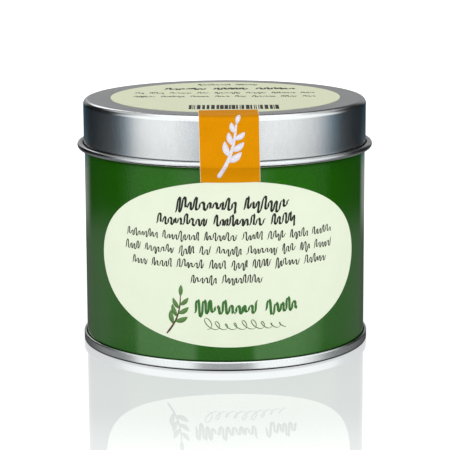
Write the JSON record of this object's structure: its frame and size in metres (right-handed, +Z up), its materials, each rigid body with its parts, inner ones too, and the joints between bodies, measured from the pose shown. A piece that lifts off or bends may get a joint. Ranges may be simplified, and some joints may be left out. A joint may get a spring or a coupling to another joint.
{
  "type": "spice tin",
  "caption": "Round tinplate spice tin with a pull-off slip lid, rolled bead, double-seamed base, oval front label, round lid label and a paper seal over the lid's edge.",
  "frame": {"origin": "centre of the base, on the surface that the tin stands on", "axes": "+Z up along the tin's axis; the front label and the seal face -Y; the body's lock seam is at +Y"},
  "size_m": [0.0862, 0.0863, 0.0717],
  "materials": {
    "green_lacquer": "glossy leaf-green lacquer outside, bare tinplate inside",
    "bare_tinplate": "bright rolled tinplate with a faint grain",
    "seam_compound": "matt sealing compound",
    "label_paper": "uncoated cream label paper",
    "seal_paper": "uncoated orange paper, creased over the lid's edge and bead"
  },
  "bodies": {
    "tin": {"body_shell": "green_lacquer", "bottom_end": "bare_tinplate", "seam_compound": "seam_compound", "front_label": "label_paper", "seal_body_part": "seal_paper"},
    "lid": {"lid_shell": "bare_tinplate", "lid_label": "label_paper", "seal_lid_part": "seal_paper"}
  },
  "joints": [
    {"name": "lid_lift", "type": "slide", "parent": "tin", "child": "lid", "axis": [0, 0, 1], "range_m": [0, 0.04]}
  ]
}
